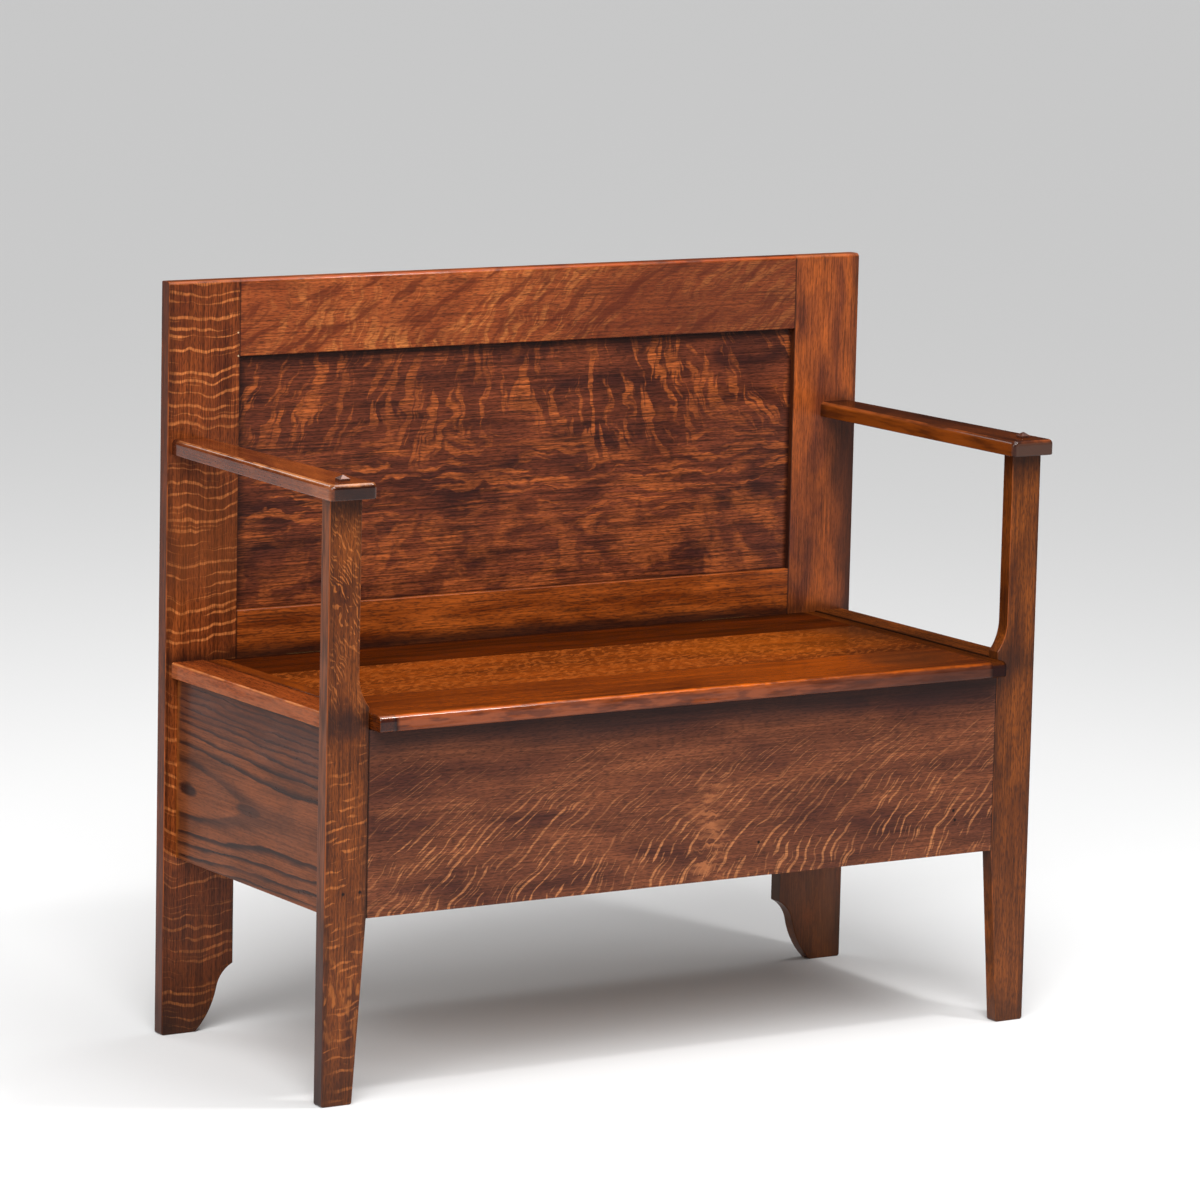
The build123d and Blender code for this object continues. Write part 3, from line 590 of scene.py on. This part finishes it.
finishes = {
    # White oak, sawn on the quarter, planed, fumed with ammonia and finished with shellac and
    # wax: red-brown, with pale ray flakes across the boards and dark pores along them, under a
    # finish that is thin and dull on the frame, and thick and glossy on the seat and the arms.

    # Bold rays sag across it. It is yellower above the seat and dark at the foot, with grime and painted
    # contact shade just above the seat.
    "back_stile_left": oak(
        "fumed_oak_left_stile", "ZXY", 11.0, "5a2812", "823f1a", pale="c1703a",
        figure=sagging_rays, flake=0.85, hairline=0.4, rubbed=outer_corners, rub=0.8,
        end="6e3416", gloss=0.1, coat=0.12, wax=0.12, marks=[
            ("7e4216", 0.3, warm_band), (OLD_WAX_AND_SHADE, 0.85, stile_seam),
            ("2a1a10", 0.7, towards_the_foot), ("24110c", 0.5, stile_edge),
            (OLD_WAX_AND_SHADE, 0.75, grime_and_shade_above_seat), ("94421a", 0.15, worn_side(-stile_outer)),
            (SIDE_STROKES, 0.45, side_grain(-stile_outer)), (FOOT_GRIME, 0.4, at_the_foot),
            ("d8b48c", 0.8, stile_pins)]),
    # Plain mottled grain without flakes, dark beside the arm from grime and a painted shadow of the arm,
    # and with grime and painted contact shade just above the seat.
    "back_stile_right": oak(
        "fumed_oak_right_stile", "ZXY", 12.0, "66301a", "a5521f", mottle=(120, 46, 40),
        speckle=0.4, rubbed=outer_corners, rub=0.8, coat=0.1, end="74381a", marks=[
            (OLD_WAX_AND_SHADE, 0.85, stile_seam), ("2c1611", 0.75, on_the_front(grime_and_arm_shadow)),
            (DARK_GRAIN, 0.4, open_grain), ("7a4a1c", 0.5, towards_the_foot),
            ("24110c", 0.55, stile_edge), (OLD_WAX_AND_SHADE, 0.6, grime_and_shade_above_seat),
            (FOOT_GRIME, 0.4, at_the_foot)]),
    # Broad soft flakes sweep to the right, and its right half is darker.
    "back_top_rail": oak(
        "fumed_oak_top_rail", "XZY", 13.0, "7c391a", "9c4e25", pale="cc7b3e",
        figure=swept_rays, flake=0.58, rubbed=outer_corners, rub=0.8, edge="963f0e",
        gloss=0.1, coat=0.2, wax=0.12, marks=[
            ("56210f", 0.75, swept_shadows), ("4a2015", 0.6, far_on_the_rail),
            ("32170c", 0.45, open_grain), (OLD_WAX_AND_SHADE, 0.85, stile_seam)]),
    # The darkest board, with light flames above and long waves in its middle, and dust and painted shade
    # in its corners.
    "back_panel": oak(
        "fumed_oak_back_panel", "XZY", 14.0, "3e1c15", "743820", dark="20100a", pale="ab5829",
        figure=tiger_flakes, flake=0.9, hairline=0.4, gloss=0.14, rub=0.0, marks=[
            ("1c0e0a", 0.6, open_grain), ("1a0c0a", 0.75, dust_and_shade_in_corners)]),
    # Bright reddish streaks, dull and dark just above the seat from grime and painted contact shade.
    "back_bottom_rail": oak(
        "fumed_oak_bottom_rail", "XZY", 15.0, "6a2c08", "a4501a", mottle=(130, 22, 30),
        rub=0.4, marks=[
            ("2a150b", 0.65, open_grain), (OLD_WAX_AND_SHADE, 0.85, stile_seam),
            ("1a0d0c", 0.85, grime_and_shade_low_on_rail)]),
    # Purplish brown, with thin flecks above its lower edge, and dust and a painted shadow of the lid
    # under it.
    "front_panel": oak(
        "fumed_oak_front_panel", "XZY", 16.0, "48241a", "774229", dark="2b1712",
        mottle=(160, 45, 40), pale="bc784a", figure=arched_rays, flake=0.78,
        rubbed=lower_edge, rub=0.8, gloss=0.14, marks=[
            ("2a1b1b", 0.75, dust_and_lid_shadow), ("a2623c", 0.8, wavy_flame),
            (NAIL_HOLE, 1.0, panel_nails), (PLANED_OAK, 0.85, inside_of_the_front),
            (BLACK_WAX, 0.9, leg_seam)]),
    # Short rays and squiggles, and edges darkened partly with painted shade. Its side is worn pale above
    # and dark below.
    "front_leg_left": oak(
        "fumed_oak_left_leg", "ZXY", 17.0, "50240c", "7e4016", pale="b0642e",
        figure=crossed_leg_rays, flake=0.85, rubbed=above_the_foot, marks=[
            ("241009", 0.6, leg_top), (DARK_GRAIN, 0.45, open_grain),
            ("201110", 0.75, at_the_seat), ("22140c", 0.15, towards_the_foot),
            (LEG_POLISH_AND_SHADE, 0.5, leg_edges), ("a05830", 0.35, side_above),
            ("2e2022", 0.5, side_below), ("b4682e", 0.5, soft_patches),
            (SIDE_STROKES, 0.55, side_grain(-leg_outer)), (FOOT_GRIME, 0.35, at_the_foot),
            (NAIL_HOLE, 1.0, leg_nails), (BLACK_WAX, 0.9, leg_seam)]),
    # Plain brown, darker along its edges, partly with painted shade, and at both ends.
    "front_leg_right": oak(
        "fumed_oak_right_leg", "ZXY", 18.0, "52260a", "7e4012", mottle=(120, 40, 40),
        rubbed=above_the_foot, marks=[
            ("22140a", 0.15, towards_the_foot), (FOOT_GRIME, 0.35, at_the_foot),
            ("241009", 0.6, leg_top), (LEG_POLISH_AND_SHADE, 0.5, leg_edges),
            (LEG_POLISH_AND_SHADE, 0.5, at_the_seat), (DARK_GRAIN, 0.4, open_grain)]),
    # Glossy orange-brown, its front edge rubbed to a thin orange line, with painted shade at its right
    # end.
    "lid_board_front": oak(
        "fumed_oak_lid_front", "XYZ", 19.0, "4e1f06", "793408", mottle=(220, 26, 30),
        edge="b8560f", rubbed=lid_front_edge, rub=0.9, gloss=0.0, coat=0.42, wax=0.13, marks=[
            (OLD_WAX_AND_SHADE, 0.7, front_seam), ("8c4c32", 0.75, nose_streaks),
            ("3a2320", 0.55, nose_patches), ("32211f", 0.65, nose_right),
            ("c25a10", 0.6, lid_front_edge), ("12090a", 0.85, nose_joint),
            ("a0480a", 0.2, soft_oval(190, -150, long=170, wide=60)),
            ("3c2212", 0.5, soft_oval(345, -145, long=60, wide=45)),
            (PAINTED_LID_SHADE, 0.3, painted_shade_on_lid_right)]),
    # Glossy orange-brown with short slanting flakes, and painted shade at its right end.
    "lid_board_middle": oak(
        "fumed_oak_lid_middle", "XYZ", 20.0, "522307", "80390b", pale="9c4f1b",
        mottle=(220, 34, 30), figure=lid_flakes, flake=0.6, rub=0.0, gloss=0.0, coat=0.4, marks=[
            (OLD_WAX_AND_SHADE, 0.6, front_seam), (OLD_WAX_AND_SHADE, 0.6, back_seam),
            ("b45c0a", 0.12, soft_oval(280, 10, long=150, wide=70)),
            ("4a2a16", 0.5, soft_oval(405, 60, long=45, wide=60)),
            (PAINTED_LID_SHADE, 0.45, painted_shade_on_lid_right)]),
    # Dark, and painted nearly black with shade along the gap behind it.
    "lid_board_back": oak(
        "fumed_oak_lid_back", "XYZ", 21.0, "2f1102", "4d1c03", mottle=(220, 30, 30), rub=0.0,
        gloss=0.0, coat=0.12, marks=[(PAINTED_GAP_SHADE, 0.8, shade_in_gap_behind_lid)]),
    # Like the front board, but its grain runs from front to back, with painted shade at the gap beside
    # the cap.
    "lid_cleat_left": oak(
        "fumed_oak_left_cleat", "YXZ", 24.0, "5e2606", "843c0c", edge="a8581c", end="1e1518",
        rubbed=lid_front_edge, rub=0.4, gloss=0.0, coat=0.7, wax=0.13, marks=[
            (OLD_WAX_AND_SHADE, 0.5, plane("x", -cleat_seam, 1.8)), ("12090a", 0.85, nose_joint),
            (PAINTED_GAP_SHADE, 0.4, shade_in_gap_beside_cap)]),
    # Darker and duller, painted black with shade at the gap beside it.
    "lid_cleat_right": oak(
        "fumed_oak_right_cleat", "YXZ", 25.0, "381805", "542608", edge="7a3c14", end="1e1518",
        rubbed=lid_front_edge, rub=0.4, gloss=0.0, coat=0.1, marks=[
            (OLD_WAX_AND_SHADE, 0.5, plane("x", cleat_seam, 1.8)), ("0c0503", 0.95, shade_in_gap_beside_cap)]),
    # The glossiest piece, its upper edges rubbed pale and painted paler still as a highlight.
    "arm_left": oak(
        "fumed_oak_left_arm", "YXZ", 26.0, "5e2a14", "88431a", edge="cc8450", end="140c0c",
        rubbed=upper_arm_edges, speckle=0.35, gloss=0.0, coat=1.0, wax=0.13, marks=[
            ("b06a44", 0.6, worn_side(low("arm_left").x)), (OLD_WAX_AND_SHADE, 0.6, grime_and_shade_at_back),
            ("1c1314", 0.5, arm_front)]),
    # Darker than the left arm, with reddish edges. Its dark colour partly paints the dark reflection on
    # its top, its inner side's orange streaks are partly a painted sheen, and its grey-brown front end
    # is a painted reflection.
    "arm_right": oak(
        "fumed_oak_right_arm", "YXZ", 27.0, "2e1307", "50240d", edge="8a441c", end="4a342b",
        rubbed=upper_arm_edges, gloss=0.0, coat=0.6, wax=0.13, marks=[
            ("964a12", 0.6, worn_side(low("arm_right").x + 1)), (OLD_WAX_AND_SHADE, 0.6, grime_and_shade_at_back),
            ("1c1314", 0.4, arm_front)]),
    # Reddish, its outer edge rubbed pale, with painted shade at the gap beside the lid.
    "cap_strip_left": oak(
        "fumed_oak_left_cap", "YXZ", 30.0, "622a10", "8e421a", edge="b86e3c",
        rubbed=cap_outer_edge, rub=0.8, gloss=0.0, coat=0.3, marks=[
            ("b06a48", 0.4, worn_side(low("cap_strip_left").x)),
            (PAINTED_GAP_SHADE, 0.4, shade_in_gap_beside_lid)]),
    # Darker than the left strip, painted black with shade at the gap beside the lid.
    "cap_strip_right": oak(
        "fumed_oak_right_cap", "YXZ", 31.0, "42200a", "6a3412", edge="b86c3c",
        rubbed=cap_outer_edge, rub=0.8, gloss=0.0, coat=0.2, marks=[
            ("0c0503", 0.95, shade_in_gap_beside_lid)]),

    # The same white oak, sawn flat, fumed and thinly shellacked: its late wood draws dark arches.

    # Dull and purplish above, where a sheen is painted, and yellower beside the stile.
    "end_panel_left": oak(
        "fumed_oak_left_end", "YZX", 22.0, "60331c", "7d4426", pale="201413",
        figure=cathedral(middle=307.0, eye=172.0), flake=0.9, speckle=0.3, gloss=0.1, marks=[
            ("3a2624", 0.55, painted_sheen_on_end), ("8a4a14", 0.6, beside_the_stile),
            (PLANED_OAK, 0.85, inside_of_the_end)]),
    # Its arches lie a little higher.
    "end_panel_right": oak(
        "fumed_oak_right_end", "YZX", 23.0, "5e3119", "7c4222", pale="201413",
        figure=cathedral(middle=346.0, eye=150.0), flake=0.9, speckle=0.3, gloss=0.1, marks=[
            (PLANED_OAK, 0.85, inside_of_the_end)]),
}

# White oak pegs, whittled to points, fumed and shellacked: dark and shiny end grain
for side, seed in (("left", 28.0), ("right", 29.0)):
    finishes["arm_peg_" + side] = oak(
        f"fumed_oak_{side}_peg", "ZXY", seed, "38190c", "5e2d18", end="34180d", edge="8a4c2a",
        gloss=0.3, coat=0.8)


def raw_oak(name, axes, seed):
    """Plain oak inside and under the box: planed, never polished, gone brown and dull with age."""
    return oak(name, axes, seed, "785440", "9c7656", dark="3c2a20", edge="a88260", rub=0.4,
               end="5e4232", matt=0.72, gloss=0.15, coat=0.0)


def birch(name, axes, seed):
    """Birch dowels: turned on a lathe, pale, even and matt, with hardly any pores."""
    return oak(name, axes, seed, "b8935f", "cda976", dark="8a6840", edge="cda976", rub=0.0, speckle=0.2,
               hairline=0.15, end="a07d50", matt=0.55, gloss=0.3, coat=0.0)


def tarnished_metal(name, axes, seed, bright, tarnish, rough):
    """Metal with a blotchy skin of tarnish over it, rubbed back to the bright metal on its edges.

    The grain of its skin is finer than 0.1 mm and is drawn 0.8 mm coarse, so that it shows."""
    metal = Wood(name, axes, seed)
    tree = metal.tree
    skin = metal.blotches((9, 9, 9), 0.38, 0.62, detail=5)
    rubbed = add(tree, "Math", worn_edge(metal), 0.7, **TIMES)
    skin = add(tree, "MapRange", add(tree, "Math", skin, rubbed, **LESS), 0.0, 1.0)
    colour = add(tree, "Mix", skin, sockets={UNDER: tone(bright), OVER: tone(tarnish)}, **COLOURS)
    dull = add(tree, "MapRange", skin, 0.0, 1.0, rough, rough + 0.25)
    relief = add(tree, "Bump", output="Normal", sockets={
        "Strength": 0.3, "Distance": 0.05 * MM, "Height": metal.cloud((0.8, 0.8, 0.8))})
    surface = add(tree, "BsdfPrincipled", sockets={
        "Base Color": colour, "Metallic": 1.0, "Roughness": dull, "Normal": relief})
    add(tree, "OutputMaterial", surface)
    return metal.material


def lengths_first(name):
    """The axes of a piece from its longest to its shortest, which is how its grain lies."""
    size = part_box(name)[1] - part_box(name)[0]
    return "".join("XYZ"[axis] for axis in sorted(range(3), key=lambda axis: -size[axis]))


slots = {row["node"]: row["material_slot"] for row in frame["record"]["subparts"]}
for number, (name, piece) in enumerate(sorted(frame["nodes"].items())):
    seed = 40.0 + 3.7 * number  # apart from the seeds of the boards above
    if name not in finishes:
        slot, axes = slots[name], lengths_first(name)
        if slot == "plain_oak":
            finishes[name] = raw_oak("plain_oak_" + name, axes, seed)
        elif slot == "dowel_birch":
            finishes[name] = birch("birch_" + name, axes, seed)
        elif slot == "hinge_brass":
            # Stamped brass, gone brown in the air: a soft dull gloss
            finishes[name] = tarnished_metal("hinge_brass_" + name, axes, seed, "604826", "2c2014", 0.45)
        else:
            # Drawn and cut steel of screws and nails, grey and dulled by air
            finishes[name] = tarnished_metal("steel_" + name, axes, seed, "8c8984", "45403b", 0.35)
    piece.data.materials[0] = finishes[name]


# Studio
def aim(thing, target):
    """Turns a lamp towards a point."""
    thing.rotation_euler = (Vector(target) - thing.location).to_track_quat("-Z", "Y").to_euler()


def lamp(name, place, target, size, power):
    """Adds a soft rectangular lamp that the camera doesn't see, in metres and watts."""
    data = bpy.data.lights.new(name, "AREA")
    data.shape = "RECTANGLE"
    data.size, data.size_y = size
    data.energy = power
    thing = bpy.data.objects.new(name, data)
    thing.location = place
    bpy.context.scene.collection.objects.link(thing)
    thing.visible_camera = False
    aim(thing, target)


lamp("overhead_softbox", (0.5, -0.35, 3.1), target=(0.3, -0.1, 0.4), size=(2.6, 1.8), power=55)
lamp("left_softbox", (-3.4, -1.2, 1.9), target=(0, 0, 0.5), size=(1.6, 1.6), power=40)
lamp("back_fill", (-1.6, 3.4, 3.0), target=(0, 0, 0.5), size=(1.8, 1.4), power=26)
lamp("edge_light", (0.72, -0.8, 2.2), target=(-0.35, -0.22, 0.6), size=(0.2, 0.2), power=16)
sun = bpy.data.lights.new("front_key", "SUN")
sun.energy = 3.1
sun.angle = math.radians(40)
key = bpy.data.objects.new("front_key", sun)
key.location = (-2.6, -3.6, 4.6)
bpy.context.scene.collection.objects.link(key)
aim(key, (0, 0, 0.4))

# Pale paper, rolled out: matt and even
bpy.ops.mesh.primitive_plane_add(size=70)
floor = bpy.context.object
floor.name = "studio_floor"
paper = bpy.data.materials.new("pale_paper_floor")
paper.use_nodes = True
paper.node_tree.nodes["Principled BSDF"].inputs["Base Color"].default_value = tone("dedede")
paper.node_tree.nodes["Principled BSDF"].inputs["Roughness"].default_value = 0.9
floor.data.materials.append(paper)

# Dark studio walls under a paler ceiling, so that polished tops stay brown at a low angle.
# The light changes between two heights above the horizon, given as sines.
wall_light, ceiling_light = 0.02, 0.24
wall_height, ceiling_height = 0.35, 0.95
world = bpy.data.worlds.new("studio")
world.use_nodes = True
walls = world.node_tree
walls.nodes.clear()
upward = add(walls, "SeparateXYZ", add(walls, "TexCoord", output="Generated"), output=2)
brightness = add(walls, "MapRange", upward, wall_height, ceiling_height,
                 wall_light, ceiling_light, **SMOOTH)
add(walls, "OutputWorld", add(walls, "Background", tone("ffffff"), brightness))
bpy.context.scene.world = world

# Camera: azimuth is the turn from straight in front, elevation the height above the horizon
camera_azimuth = math.radians(-32.210)
camera_elevation = math.radians(9.156)
camera_roll = math.radians(1.281)
camera_eye = (-3.7177, -5.8857, 1.6518)
lens = bpy.data.cameras.new("camera")
lens.sensor_fit = "HORIZONTAL"
lens.sensor_width = 36.0
lens.lens = 175.0
lens.clip_end = 100.0
camera = bpy.data.objects.new("camera", lens)
camera.matrix_world = (Matrix.Translation(camera_eye) @ Matrix.Rotation(camera_azimuth, 4, "Z")
                       @ Matrix.Rotation(math.pi / 2 - camera_elevation, 4, "X")
                       @ Matrix.Rotation(camera_roll, 4, "Z"))
bpy.context.scene.collection.objects.link(camera)
bpy.context.scene.camera = camera
bpy.context.scene.view_settings.view_transform = "Standard"
